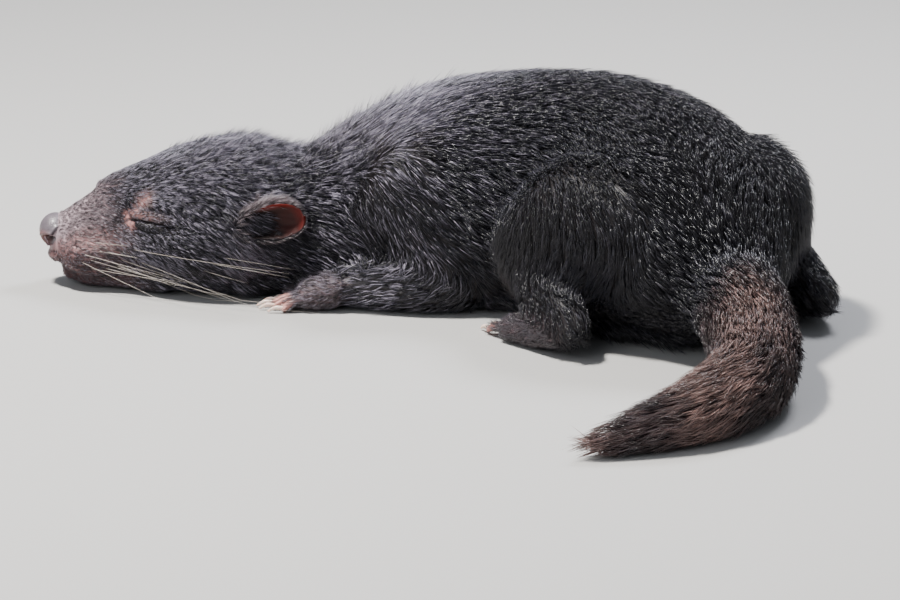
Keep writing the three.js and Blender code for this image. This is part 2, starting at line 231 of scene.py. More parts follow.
# The limbs' joints in millimetres along the spine, to the side and above the floor
limb_joints = {
    "upper_arm": ((194, 42, 63), (230, 61, 23), shoulder_pin),
    "forearm": ((230, 61, 18), (170, 58, 12), shoulder_pin),
    "forepaw": ((170, 58, 12), (126, 55, 4), shoulder_pin),
    "thigh": ((408, 37, 80), (400, 80, 20), hip_pin),
    "shank": ((346, 63, 42), (408, 74, 14), hip_pin),
    "hind_foot": ((408, 74, 14), (340, 81, 4), hip_pin),
}
head_nodes = ["head", "lower_jaw", "eyelids_left", "eyelids_right", "nose"]
body_nodes = ["neck", "chest", "belly", "rump", "tail_root", "tail_middle", "tail_tip"]
limb_nodes = [f"{limb}_{side}" for limb in limb_joints for side in ("left", "right")]
flesh_nodes = head_nodes + body_nodes + limb_nodes

deselect_all()
flesh_copies = [copy_of(node) for node in flesh_nodes]
# A plug under each ear fills the hollow that its cup leaves in the head
plug_halves = np.array([26, 10, 17])
plug_s, plug_t, plug_z = 131, 38, 42
for side in (-1, 1):
    bpy.ops.mesh.primitive_uv_sphere_add(segments=32, ring_count=20, radius=1, location=(0, 0, 0))
    plug = bpy.context.object
    plug_corners = corners_of(plug.data) * plug_halves * mm
    set_corners(plug.data, plug_corners + on_body(plug_s, side * plug_t, plug_z))
    flesh_copies.append(plug)
skin = joined(flesh_copies, "skin")
apply_modifier(skin, "DISPLACE", strength=0.5 * mm, mid_level=0)
apply_modifier(skin, "REMESH", mode="VOXEL", voxel_size=1.25 * mm)


def neighbours_of(mesh):
    """Each corner's neighbours as rows of one array, padded with the corner itself."""
    ends = np.empty(len(mesh.edges) * 2, int)
    mesh.edges.foreach_get("vertices", ends)
    pairs = np.concatenate([ends.reshape(-1, 2), ends.reshape(-1, 2)[:, ::-1]])
    pairs = pairs[np.argsort(pairs[:, 0], kind="stable")]
    first = np.searchsorted(pairs[:, 0], np.arange(len(mesh.vertices)))
    column = np.arange(len(pairs)) - first[pairs[:, 0]]
    rows = np.repeat(np.arange(len(mesh.vertices))[:, None], column.max() + 1, 1)
    rows[pairs[:, 0], column] = pairs[:, 1]
    return rows


def spread(values, neighbours, rounds, share=0.5):
    """Evens values out over a mesh, round by round, each corner moving a share towards its neighbours."""
    share = np.reshape(share, (-1, 1))
    for _ in range(rounds):
        near = values[neighbours[:, 0]]
        for column in range(1, neighbours.shape[1]):
            near = near + values[neighbours[:, column]]
        values = values + share * (near / neighbours.shape[1] - values)
    return values


skin_neighbours = neighbours_of(skin.data)

# Which solid each corner of the skin belongs to
solid_corners, solid_faces, face_owner = [], [], []
for owner, node in enumerate(flesh_nodes):
    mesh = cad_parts[node].data
    start = len(solid_corners)
    solid_corners += [corner.co[:] for corner in mesh.vertices]
    solid_faces += [[start + corner for corner in face.vertices] for face in mesh.polygons]
    face_owner += [owner] * len(mesh.polygons)
solid_tree = BVHTree.FromPolygons(solid_corners, solid_faces)
skin_corners = corners_of(skin.data)
owners = np.array([face_owner[solid_tree.find_nearest(corner)[2]] for corner in skin_corners.tolist()])

# How deep and how long the coat is on the limbs, in millimetres, and 1 for a paw
limb_coat = {
    "upper_arm": (4.0, 13, 0),
    "forearm": (2.4, 9, 0),
    "forepaw": (0.5, 4.6, 1),
    "thigh": (4.8, 15, 0),
    "shank": (2.8, 10, 0),
    "hind_foot": (0.6, 5, 1),
}
# Seven values for each corner: 1 on a limb, then its row above, then the way along the limb
limb_values = np.zeros((len(skin_corners), 7))
for owner, node in enumerate(flesh_nodes):
    limb, _, side = node.rpartition("_")
    if limb not in limb_joints:
        continue
    start, end, pin = limb_joints[limb]
    turned = -1 if side == "left" else 1
    way = on_body(end[0], turned * end[1], end[2], pin)
    way = way - on_body(start[0], turned * start[1], start[2], pin)
    way /= np.linalg.norm(way)
    limb_values[owners == owner] = [1, *limb_coat[limb], *way]
limb_values = spread(limb_values, skin_neighbours, 30)
limb_values = spread(limb_values, skin_neighbours, 110, 0.5 * (1 - limb_values[:, 3]))

# Smoothing: strong on the trunk and the upper limbs, light on the face and the paws
places, rights = along_spine(skin_corners)
softness = np.interp(places, [0, 40, 75, 110, 140], [0.05, 0.08, 0.2, 0.5, 1.0])
softness = np.minimum(softness, 1 - 0.95 * limb_values[:, 3])
skin_corners = spread(skin_corners, skin_neighbours, 160, 0.6 * softness)
set_corners(skin.data, skin_corners)

# The depth of the coat along the spine, in millimetres
depth_marks = [0, 14, 30, 45, 62, 90, 120, 150, 190, 400, 460, 520, 640, 662]
depth_there = [0.1, 0.3, 0.5, 1.0, 1.8, 3.0, 3.8, 4.8, 5.4, 5.4, 4.6, 4.0, 3.0, 2.6]
depth = np.interp(places, depth_marks, depth_there) * (1 - limb_values[:, 0]) + limb_values[:, 1]
pressed = (normals_of(skin.data)[:, 2] < -0.6) & (skin_corners[:, 2] < 9 * mm)
depth = np.where(pressed, np.minimum(depth, 1.2), depth)
depth = spread(depth[:, None], skin_neighbours, 8)[:, 0]
for _ in range(4):
    skin_corners = skin_corners - normals_of(skin.data) * (depth * mm / 4)[:, None]
    skin_corners = spread(skin_corners, skin_neighbours, 1, 0.5 * softness)
    set_corners(skin.data, skin_corners)

# Fewer faces where the coat hides the skin
covered = skin.vertex_groups.new(name="covered")
bare = (places < 74) | (limb_values[:, 3] > 0.6)
covered.add(np.flatnonzero(~bare).tolist(), 1.0, "REPLACE")
hidden_share = 1 - bare.mean()
wanted_hidden = 0.035
ratio = 1 - hidden_share * (1 - wanted_hidden)
apply_modifier(skin, "DECIMATE", ratio=ratio, vertex_group="covered")
skin.vertex_groups.clear()


def subdivide_faces(thing, chosen):
    only(thing)
    mesh = thing.data
    mesh.vertices.foreach_set("select", np.zeros(len(mesh.vertices), bool))
    mesh.edges.foreach_set("select", np.zeros(len(mesh.edges), bool))
    mesh.polygons.foreach_set("select", chosen)
    bpy.context.tool_settings.mesh_select_mode = (False, False, True)
    bpy.ops.object.mode_set(mode="EDIT")
    bpy.ops.mesh.subdivide(number_cuts=1)
    bpy.ops.object.mode_set(mode="OBJECT")


def face_centres(mesh):
    flat = np.empty(len(mesh.polygons) * 3)
    mesh.polygons.foreach_get("center", flat)
    return flat.reshape(-1, 3)


def off_line(line, s, z):
    """How far each place is above a line of (s, z) points, or below it, and what share along it."""
    nearest, side, share_there = np.full(len(s), 1e6), np.zeros(len(s)), np.zeros(len(s))
    for part, ((start_s, start_z), (end_s, end_z)) in enumerate(zip(line[:-1], line[1:])):
        way_s, way_z = end_s - start_s, end_z - start_z
        share = ((s - start_s) * way_s + (z - start_z) * way_z) / (way_s**2 + way_z**2)
        share = np.clip(share, 0, 1)
        off_s, off_z = s - start_s - share * way_s, z - start_z - share * way_z
        gap = np.hypot(off_s, off_z)
        nearer = gap < nearest
        nearest = np.where(nearer, gap, nearest)
        side = np.where(nearer, np.where(way_s * off_z - way_z * off_s < 0, -1, 1), side)
        share_there = np.where(nearer, (part + share) / (len(line) - 1), share_there)
    return nearest * side, share_there


def hump(off, middle, width):
    return np.exp(-(((off - middle) / width) ** 2))


# The slit between the lids and the line of the mouth, as (s, z) points in millimetres
eye_line = [(50.4, 41.2), (56, 42.2), (63, 41.9), (70, 41.0), (76, 40.0)]
mouth_line = [(10, 13), (20, 10), (31, 8.6), (44, 9.6), (54, 12.4), (60, 15.6)]

label_tree = KDTree(len(skin_corners))
for mark, corner in enumerate(skin_corners.tolist()):
    label_tree.insert(corner, mark)
label_tree.balance()


def labels_at(points):
    """The limb labels of the skin's first corners, looked up at other places."""
    return limb_labels[[label_tree.find(point)[1] for point in points.tolist()]]


# Finer faces on the face and the paws, and finer still round the eyes and the mouth
limb_labels = limb_values
centres = face_centres(skin.data)
centre_s, centre_t = along_spine(centres)
centre_z = centres[:, 2] / mm
on_paw = (labels_at(centres)[:, 3] > 0.6) & (centre_z < 13) & (centre_z > 1.6)
beside_eye = (centre_s < 72) & (np.abs(centre_t) > 12) & (centre_z > 30)
subdivide_faces(skin, ((centre_s < 65) & (centre_z > 7)) | beside_eye | on_paw)
centres = face_centres(skin.data)
centre_s, centre_t = along_spine(centres)
centre_z = centres[:, 2] / mm
eye_off, _ = off_line(eye_line, centre_s, centre_z)
mouth_off, _ = off_line(mouth_line, centre_s, centre_z)
near_eye = (np.abs(eye_off - 0.5) < 4.5) & (np.abs(centre_t) > 15)
near_mouth = (np.abs(mouth_off) < 1.8) & (centre_s < 62)
subdivide_faces(skin, near_eye | near_mouth)

skin_corners = corners_of(skin.data)
limb_values = labels_at(skin_corners)
skin_neighbours = neighbours_of(skin.data)
places, rights = along_spine(skin_corners)
heights = skin_corners[:, 2] / mm
skin_corners = spread(skin_corners, skin_neighbours, 4, 0.5 * (places < 80))
set_corners(skin.data, skin_corners)


def from_pin(points, pin):
    """How far along the spine's straight line at a pin each place lies, and how far to its right."""
    turned = spine_turn(pin)
    off = points[:, :2] / mm - spine_plan[pin]
    ahead = off[:, 0] * np.cos(turned) - off[:, 1] * np.sin(turned)
    return pin + ahead, off[:, 0] * np.sin(turned) + off[:, 1] * np.cos(turned)


# Grooves between the digits, which fan out from the knuckles
grooves = np.zeros(len(skin_corners))
mid_body = 290
knuckle_rows = ((147, 55, 5, 5.3, shoulder_pin), (361, 81, 4, 6.2, hip_pin))
for knuckle_s, knuckle_t, digits, spacing, pin in knuckle_rows:
    ahead, aside = from_pin(skin_corners, pin)
    fanned = np.interp(ahead, [knuckle_s - 16, knuckle_s + 2], [1.12, 0.8]) * spacing
    between = (np.abs(aside) - knuckle_t) / fanned - (digits - 1) / 2
    between = np.abs(between - np.round(between - 0.5) - 0.5) * fanned
    here = (limb_values[:, 3] > 0.5) & (np.abs(ahead - knuckle_s) < 30)
    here &= np.sign(pin - mid_body) == np.sign(places - mid_body)
    here &= np.abs(np.abs(aside) - knuckle_t) < (digits / 2 - 0.5) * fanned
    grooves += here * hump(between, 0, 0.9) * ease(knuckle_s - ahead, 0, 6)
skin_corners = skin_corners - normals_of(skin.data) * (2.0 * grooves * mm)[:, None]
skin_corners = spread(skin_corners, skin_neighbours, 1, 0.4 * (grooves > 0.02))
set_corners(skin.data, skin_corners)

# The folds of the face, in millimetres out of the skin
eye_off, eye_along = off_line(eye_line, places, heights)
eye_ends = ease(eye_along, 0.0, 0.1) * (1 - ease(eye_along, 0.93, 1.0))
beside = ease(np.abs(rights), 12, 17)
folds = beside * (1 - limb_values[:, 0]) * (
    -1.7 * hump(eye_off, 0, 0.8) * (0.35 + 0.65 * eye_ends)
    + 1.0 * hump(eye_off, 2.9, 1.9) * eye_ends
    - 0.7 * hump(eye_off, 6.6, 1.1) * eye_ends
    + 0.8 * hump(eye_off, 11, 3.5) * eye_ends
    + 0.6 * hump(eye_off, -2.3, 1.4) * eye_ends
    - 0.5 * hump(eye_off, -5.0, 1.0) * eye_ends
    - 2.0 * np.exp(-(((places - 72.5) / 4) ** 2) - ((heights - 38.6) / 2.6) ** 2)
)
mouth_off, mouth_along = off_line(mouth_line, places, heights)
mouth_ends = 1 - ease(mouth_along, 0.9, 1.0)
past_front = ease(places, 12, 20)
folds += (
    -1.7 * hump(mouth_off, 0, 0.8) * mouth_ends
    + 1.2 * hump(mouth_off, 2.3, 1.5) * mouth_ends * past_front
    + 0.5 * hump(mouth_off, -2.0, 1.3) * mouth_ends * past_front
)
# The chin is rounder than its solid and lies behind the upper lip
folds -= 2.6 * (1 - ease(places, 15, 27)) * (1 - ease(heights, 8, 14))
pad_s, pad_z = (places - 25) / 11, (heights - 18) / 7
folds += 1.3 * np.exp(-(pad_s**2) - pad_z**2)
crease_off = places - 15.5 - 0.25 * (26 - heights)
folds -= 0.7 * hump(crease_off, 0, 0.8) * ease(heights, 12, 17) * (1 - ease(heights, 27, 34))
# Rows of short wrinkles between the roots of the whiskers
row_gap = 3.4
row_phase = heights + 0.10 * places + 0.9 * np.sin(places * 0.33)
row_phase += 0.5 * np.sin(places * 0.81 + heights * 0.5)
on_pad = ease(places, 15, 19) * (1 - ease(places, 38, 46)) * ease(np.abs(rights), 9, 13)
on_pad *= ease(heights, 11, 14) * (1 - ease(heights, 29, 34))
row_groove = (0.5 + 0.5 * np.cos(row_phase * 2 * math.pi / row_gap)) ** 3
folds -= 0.55 * row_groove * on_pad * (0.6 + 0.4 * np.sin(places * 0.6 + heights * 1.3))
# The skin sinks under the nose pad
folds -= 2.2 * (1 - ease(places, 7.5, 11.5)) * ease(heights, 16, 20)
skin_corners = skin_corners + normals_of(skin.data) * (folds * mm)[:, None]
set_corners(skin.data, skin_corners)
skin_corners = spread(skin_corners, skin_neighbours, 2, 0.3 * (places < 80))
at_lip = (1 - ease(places, 14, 22)) * (1 - ease(heights, 19, 23))
skin_corners = spread(skin_corners, skin_neighbours, 12, 0.6 * at_lip)
set_corners(skin.data, skin_corners)
only(skin)
bpy.ops.object.shade_smooth()


# Markings, painted light and painted shade
# Black fur over dark skin, a mauve-brown muzzle that is pinkest behind the whisker pad, a bare pink patch
# over the inner corner of each eye, brownish-pink lids, mauve feet with pink digits and a brownish tail.
# Painted light and shade lie in the same colours: the top of the muzzle painted lighter, its lower part
# darker, and near-black painted shade in the line of the mouth, the wrinkles of the whisker pad, the hollow
# at the back of each eye and the grooves between the digits.
skin_colours = {
    "under coat": (0.012, 0.009, 0.010),
    "muzzle": (0.240, 0.135, 0.138),
    "muzzle top highlight": (0.270, 0.205, 0.225),
    "pinkest": (0.480, 0.260, 0.250),
    "lower muzzle shade": (0.060, 0.026, 0.026),
    "wrinkle shade": (0.070, 0.028, 0.030),
    "eye patch": (0.400, 0.195, 0.180),
    "lid": (0.120, 0.062, 0.060),
    "mouth": (0.030, 0.012, 0.012),
    "eye slit": (0.012, 0.006, 0.006),
    "foot": (0.110, 0.072, 0.078),
    "digit": (0.400, 0.195, 0.170),
    "tail": (0.045, 0.024, 0.023),
}
fur_colours = {
    "coat": (0.0055, 0.0048, 0.0070),
    "muzzle": (0.050, 0.033, 0.036),
    "muzzle pale": (0.260, 0.175, 0.172),
    "foot": (0.036, 0.026, 0.028),
    "tail": (0.034, 0.020, 0.019),
    "tail pale": (0.120, 0.072, 0.062),
    "shoulder": (0.034, 0.022, 0.018),
    "painted sheen": (0.420, 0.380, 0.475),
    "frost": (0.400, 0.330, 0.345),
}


def painted(base, layers):
    """A colour for each place: the layers lie over the base one by one, each with its own share there."""
    colour = np.broadcast_to(base, (len(layers[0][0]), 3)).copy()
    for share, over in layers:
        colour += np.clip(share, 0, 1)[:, None] * (np.array(over) - colour)
    return colour


def waves(points, size, seed):
    """A smooth random value from -1 to 1 or so at each place, with swells about size metres across."""
    draw = np.random.default_rng(seed)
    ways = draw.normal(size=(7, 3)) * (2.4 / size)
    shifts = draw.uniform(0, 2 * math.pi, 7)
    return np.sin(points @ ways.T + shifts).sum(1) / 3.2


def marking_light_and_shade_shares(points, s, t, z):
    """How strongly each marking and each patch of painted light and shade shows at each place."""
    aside = np.abs(t)
    ragged = 1.6 * waves(points, 0.006, 11) + 0.9 * waves(points, 0.0022, 12)
    lateral = ease(aside, 10, 15)
    slit_off, slit_along = off_line(eye_line, s, z)
    patch_off, _ = off_line([(54.0, 48.2), (56.5, 51.5), (60.0, 54.0)], s, z)
    inner_off, _ = off_line([(48.6, 45.0), (50.2, 42.0), (52.4, 38.0)], s, z)
    lips_off, lips_along = off_line(mouth_line, s, z)
    on_lid = ease(s, 48, 52) * (1 - ease(s, 66, 76)) * lateral
    return {
        "muzzle": 1 - ease(s + 1.6 * ragged + 0.35 * (z - 28), 30, 62),
        # Painted light: the top of the muzzle is painted lighter
        "muzzle top highlight": ease(z + ragged - 0.42 * s, 18, 27),
        "pinkest": np.exp(-(((s - 35) / 13) ** 2) - ((z - 24 - 0.06 * s) / 6.5) ** 2) * lateral,
        "eye patch": (1 - ease(np.abs(patch_off) + 0.3 * ragged, 0.2, 5.0)) * lateral * 0.9,
        "inner corner": (1 - ease(np.abs(inner_off) + 0.3 * ragged, 0.6, 3.6)) * lateral * 0.9,
        # Painted shade: the lower muzzle is painted darker
        "lower muzzle shade": 1 - ease(z + 0.5 * ragged - 0.1 * s, 16.5, 24),
        "lid": on_lid * ease(slit_off, 0.2, 1.2) * (1 - ease(slit_off + 0.6 * ragged, 5.5, 9)),
        "eye slit": on_lid * (1 - ease(np.abs(slit_off), 0.35, 1.1)),
        # Painted shade in the hollow at the back of the eye
        "eye corner shade": np.exp(-(((s - 72.5) / 4.5) ** 2) - ((z - 39.6) / 3) ** 2) * lateral,
        # Painted shade along the line of the mouth
        "mouth": (1 - ease(np.abs(lips_off), 0.3, 1.2)) * (1 - ease(lips_along, 0.9, 1.0)) * lateral,
        "tail": ease(s + 3 * ragged, 462, 500),
    }


fore_ahead, hind_ahead = from_pin(skin_corners, shoulder_pin)[0], from_pin(skin_corners, hip_pin)[0]
fore_digits, hind_digits = 144, 358
behind_knuckles = np.where(places < mid_body, fore_ahead - fore_digits, hind_ahead - hind_digits)
marks_light_and_shade = marking_light_and_shade_shares(skin_corners, places, rights, skin_corners[:, 2] / mm)
marks_light_and_shade["foot"] = ease(limb_values[:, 3], 0.2, 0.8)
marks_light_and_shade["digit"] = marks_light_and_shade["foot"] * (1 - ease(behind_knuckles + 1.5 * waves(skin_corners, 0.005, 13), -6, 1))
# Painted shade in the grooves between the whisker rows
marks_light_and_shade["wrinkle shade"] = row_groove * on_pad
skin_colour = painted(skin_colours["under coat"], [
    (marks_light_and_shade["muzzle"], skin_colours["muzzle"]),
    # Painted highlight on the top of the muzzle
    (marks_light_and_shade["muzzle"] * marks_light_and_shade["muzzle top highlight"], skin_colours["muzzle top highlight"]),
    (marks_light_and_shade["pinkest"] * 0.8, skin_colours["pinkest"]),
    # Painted shade low on the muzzle
    (marks_light_and_shade["lower muzzle shade"] * marks_light_and_shade["muzzle"] * 0.8, skin_colours["lower muzzle shade"]),
    # Painted shade in the wrinkles of the whisker pad
    (marks_light_and_shade["wrinkle shade"] * 0.5, skin_colours["wrinkle shade"]),
    # Painted shade in the line of the mouth
    (marks_light_and_shade["mouth"], skin_colours["mouth"]),
    (marks_light_and_shade["lid"], skin_colours["lid"]),
    (marks_light_and_shade["eye patch"] + marks_light_and_shade["inner corner"], skin_colours["eye patch"]),
    # Painted shade in the hollow at the back of the eye, in the slit's near-black
    (marks_light_and_shade["eye corner shade"], skin_colours["eye slit"]),
    (marks_light_and_shade["eye slit"], skin_colours["eye slit"]),
    (marks_light_and_shade["tail"], skin_colours["tail"]),
    (marks_light_and_shade["foot"], skin_colours["foot"]),
    (marks_light_and_shade["digit"], skin_colours["digit"]),
    # Painted shade in the grooves between the digits
    (grooves * marks_light_and_shade["foot"] * 0.7, skin_colours["mouth"]),
])


def add_colours(mesh, name, colours):
    layer = mesh.color_attributes.new(name, "FLOAT_COLOR", "POINT")
    layer.data.foreach_set("color", np.column_stack([colours, np.ones(len(colours))]).ravel())


add_colours(skin.data, "marking_light_and_shade", skin_colour)


class Paint:
    """A socket of a material. Sums on it add Math nodes, and node() adds any other kind."""

    def __init__(self, tree, socket=None):
        self.tree = tree
        self.socket = socket

    def node(self, kind, settings=None, values=None, out=0):
        made = self.tree.nodes.new("ShaderNode" + kind)
        for setting, value in (settings or {}).items():
            setattr(made, setting, value)
        for place, value in (values or {}).items():
            if isinstance(value, Paint):
                self.tree.links.new(value.socket, made.inputs[place])
            else:
                made.inputs[place].default_value = value
        return Paint(self.tree, made.outputs[out])

    def sum(self, operation, first, second):
        return self.node("Math", {"operation": operation}, {0: first, 1: second})

    def __add__(self, other):
        return self.sum("ADD", self, other)

    def __sub__(self, other):
        return self.sum("SUBTRACT", self, other)

    def __rsub__(self, other):
        return self.sum("SUBTRACT", other, self)

    def __mul__(self, other):
        return self.sum("MULTIPLY", self, other)

    __radd__, __rmul__ = __add__, __mul__

    def object_place(self):
        return self.node("TexCoord", out="Object")

    def noise(self, scale, detail=3, stretch=(1, 1, 1), roughness=0.5):
        """Noise from 0 to 1 on Object coordinates, stretched along the axes by the three shares."""
        place = self.node("Mapping", values={"Vector": self.object_place(), "Scale": stretch})
        settings = {"Vector": place, "Scale": scale, "Detail": detail, "Roughness": roughness}
        return self.node("TexNoise", values=settings)

    def spread_over(self, low, high):
        """This value's range from low to high drawn out to 0 to 1, and held there."""
        return self.node("MapRange", {"clamp": True}, {"Value": self, "From Min": low, "From Max": high})

    def scaled(self, colour, amount):
        """The colour times an amount, which may be a value of its own at each place."""
        return self.node("VectorMath", {"operation": "SCALE"}, {0: colour, "Scale": amount})

    def mixed(self, share, first, second):
        """The first colour passing into the second by the share."""
        return self.node("Mix", {"data_type": "RGBA"}, {0: share, 6: first, 7: second}, out=2)

    def bumped(self, height, strength, distance):
        return self.node("Bump", values={"Height": height, "Strength": strength, "Distance": distance})


def new_finish(name):
    """A new material, its Paint and its shader."""
    finish = bpy.data.materials.new(name)
    finish.use_nodes = True
    tree = finish.node_tree
    return finish, Paint(tree), tree.nodes["Principled BSDF"]


def dress(shader, values):
    """Sets or links the shader's sockets."""
    for place, value in values.items():
        if isinstance(value, Paint):
            shader.id_data.links.new(value.socket, shader.inputs[place])
        else:
            shader.inputs[place].default_value = value


hide, paint, shader = new_finish("devil skin")
marking_light_and_shade = paint.node("Attribute", {"attribute_name": "marking_light_and_shade"})
mottle = paint.noise(420, 4)
pores = paint.noise(2400, 2)
short_hairs = paint.noise(1500, 3, stretch=(0.16, 1, 1), roughness=0.6)
dress(shader, {
    "Base Color": paint.scaled(marking_light_and_shade, 0.55 + 0.6 * mottle + 0.5 * short_hairs),
    "Roughness": 0.34 + 0.3 * mottle,
    "Normal": paint.bumped(0.6 * short_hairs + 0.4 * pores, 0.5, 0.5 * mm),
    "Specular IOR Level": 0.4,
})
skin.data.materials.append(hide)
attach(skin, "root")
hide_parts(*flesh_nodes)


# Coat
# Solid tufts over the skin, joined into eleven pieces. Each tuft is a slim closed spindle that leaves the
# skin at a slant and bends back along it, drawn towards its neighbours so that the fur parts into locks.
def triangles_of(mesh, points):
    """The mesh's triangles as rows of three corners, and the area of each."""
    mesh.calc_loop_triangles()
    rows = np.empty(len(mesh.loop_triangles) * 3, int)
    mesh.loop_triangles.foreach_get("vertices", rows)
    rows = rows.reshape(-1, 3)
    first, second = (points[rows[:, end]] - points[rows[:, 0]] for end in (1, 2))
    return rows, np.linalg.norm(np.cross(first, second), axis=1) / 2


skin_corners = corners_of(skin.data)
skin_normals = normals_of(skin.data)
skin_triangles, triangle_area = triangles_of(skin.data, skin_corners)
heights = skin_corners[:, 2] / mm


def unit(ways):
    return ways / np.maximum(np.linalg.norm(ways, axis=-1, keepdims=True), 1e-9)


# The lie of the coat: back along the spine, down on the cheeks and flanks, and along each limb
turn = spine_turn(places)
side_on = ease(np.abs(skin_normals[:, 0] * np.sin(turn) + skin_normals[:, 1] * np.cos(turn)), 0.2, 0.9)
limb_share = np.clip(limb_values[:, 0], 0, 1)
downward_marks = [0, 30, 60, 100, 150, 200, 400, 470]
downward = side_on * np.interp(places, downward_marks, [0.1, 0.2, 0.3, 0.45, 0.4, 0.5, 0.5, 0.1])
before_ear = np.exp(-(((places - 107) / 7) ** 2)) * ease(side_on, 0.3, 0.9) * (1 - ease(heights, 52, 66))
downward += 0.45 * before_ear
lie = np.column_stack([np.cos(turn), -np.sin(turn), -downward])
limb_flow = (limb_share * (1 - 0.85 * ease(heights, 42, 84)))[:, None]
lie = unit(lie) * (1 - limb_flow) + unit(limb_values[:, 4:7]) * limb_flow
lie = unit(lie - skin_normals * (lie * skin_normals).sum(1)[:, None])
swirl = 0.16 * waves(skin_corners, 0.05, 21) + 0.14 * waves(skin_corners, 0.018, 22)
lie = lie * np.cos(swirl)[:, None] + np.cross(skin_normals, lie) * np.sin(swirl)[:, None]

# Length and width of the tufts, in millimetres, and how many stand on a square millimetre
length_marks = [0, 8, 16, 28, 40, 55, 75, 100, 118, 140, 165, 200, 300, 420, 462, 520, 662]
lengths_there = [1.2, 1.8, 2.5, 3.2, 4.0, 5.0, 7.0, 9.5, 11.5, 12, 14, 15, 17, 17, 16, 18, 17]
hair_length = np.interp(places, length_marks, lengths_there)
hair_length = np.where(skin_normals[:, 2] < -0.4, 0.65 * hair_length, hair_length)
hair_length = (hair_length + 4 * before_ear) * (1 - limb_share) + limb_values[:, 2]
limb_edge = 4 * limb_share * (1 - limb_share)
hair_length *= 1 + 0.2 * limb_edge
eye_off, _ = off_line(eye_line, places, heights)
eye_nearness = (1 - ease(np.abs(eye_off), 2, 9)) * ease(np.abs(rights), 12, 17) * (places < 84)
hair_length *= 1 - 0.62 * eye_nearness
width_marks = [0, 30, 60, 100, 140, 200, 300, 460, 662]
widths_there = [0.22, 0.25, 0.30, 0.36, 0.42, 0.50, 0.56, 0.56, 0.48]
hair_width = np.interp(places, width_marks, widths_there) * (1 - 0.2 * limb_share)
hair_width *= 1 - 0.3 * marks_light_and_shade["foot"]
crowd = np.interp(places, [0, 20, 45, 70], [2.0, 3.0, 3.4, 2.8]) * (1 + 3.0 * marks_light_and_shade["foot"])
bare_skin = np.clip(marks_light_and_shade["eye patch"] * 0.55 + marks_light_and_shade["inner corner"] * 0.8 + marks_light_and_shade["eye slit"] * 1.2, 0, 1)
bare_skin = np.maximum(bare_skin, marks_light_and_shade["pinkest"] * marks_light_and_shade["muzzle"] * 0.35)
bare_skin = np.maximum(bare_skin, marks_light_and_shade["digit"] * 0.93)
bare_skin = np.maximum(bare_skin, 1 - ease(places + 4 * (1 - ease(heights, 19, 23)), 9, 12))
bare_skin = np.maximum(bare_skin, (heights < 2.5) * (skin_normals[:, 2] < -0.8) * 0.85)
crowd = crowd * (1 - bare_skin)
lift_marks = [0, 20, 60, 100, 118, 135, 165, 200, 460]
lift = np.interp(places, lift_marks, [0.2, 0.24, 0.2, 0.3, 0.42, 0.34, 0.36, 0.26, 0.26])
lift = lift + 0.08 * limb_edge

# How many tufts stand up out of the coat: a ruffle over the crown and the shoulders, hardly any elsewhere
upward = ease(skin_normals[:, 2], 0.1, 0.8)
ruffle_marks = [60, 88, 105, 130, 150, 172, 205, 235]
ruffle = 0.006 + upward * np.interp(places, ruffle_marks, [0, 0.2, 0.4, 0.35, 0.12, 0.16, 0.07, 0])
ruffle *= ease(places, 60, 85) * (1 - ease(places, 215, 250))

# The fur's own colours under the same markings
brown_shoulder = 0.5 * np.exp(-((places - 190) / 30) ** 2) * ease(waves(skin_corners, 0.03, 23), 0, 1)
pale_tail = ease(waves(skin_corners, 0.045, 25) + 0.004 * (places - 560), -0.1, 0.9)
fur_colour = painted(fur_colours["coat"], [
    (brown_shoulder, fur_colours["shoulder"]),
    (marks_light_and_shade["muzzle"], fur_colours["muzzle"]),
    # Pale muzzle hairs are kept out of the painted shade low on the muzzle
    (marks_light_and_shade["pinkest"] * marks_light_and_shade["muzzle"] * (1 - marks_light_and_shade["lower muzzle shade"]), fur_colours["muzzle pale"]),
    (marks_light_and_shade["lid"] * 0.6, fur_colours["muzzle"]),
    (marks_light_and_shade["eye patch"], fur_colours["muzzle pale"]),
    (marks_light_and_shade["tail"], fur_colours["tail"]),
    (marks_light_and_shade["tail"] * pale_tail, fur_colours["tail pale"]),
    (marks_light_and_shade["foot"], fur_colours["foot"]),
])

# Painted highlights: a lavender sheen is painted into the tips of a share of the tufts among the black
# ones, most on faces turned up, the crown and the shoulders. On the muzzle, the lids and the feet these
# tufts are pale frosted hairs.
below_eye = np.exp(-(((places - 62) / 15) ** 2) - ((heights - 26) / 9) ** 2)
glint_and_pale_hair = 0.26 + 0.26 * upward + 0.12 * waves(skin_corners, 0.02, 24) + 0.2 * before_ear + 0.22 * below_eye
glint_marks = [0, 40, 70, 118, 138, 158, 200, 260, 470]
glint_and_pale_hair *= np.interp(places, glint_marks, [0.9, 1.0, 1.0, 1.1, 0.6, 1.0, 1.4, 0.5, 0.25])
glint_and_pale_hair *= 1 - 0.5 * limb_edge
frosting = np.clip(marks_light_and_shade["muzzle"] + 0.5 * marks_light_and_shade["foot"] + 0.4 * marks_light_and_shade["lid"], 0, 1)
# Fewer pale hairs in the painted shade low on the muzzle
frosting *= 1 - 0.6 * marks_light_and_shade["lower muzzle shade"]
# More pale hairs under the painted highlight on the top of the muzzle
glint_and_pale_hair = np.maximum(glint_and_pale_hair, (0.45 + 0.35 * marks_light_and_shade["muzzle top highlight"]) * frosting)
# How bright the painted sheen is along the body: full on the head and the shoulders, faint on the back and
# the rump
shine_marks = [0, 60, 130, 170, 210, 260, 330, 470]
shine = np.interp(places, shine_marks, [0.8, 0.95, 1.0, 0.9, 1.0, 0.5, 0.2, 0.12])
# The painted sheen's colour, passing into the frost colour of the pale hairs on the muzzle, the lids and
# the feet
sheen_colour = painted(fur_colours["painted sheen"], [(frosting, fur_colours["frost"])])

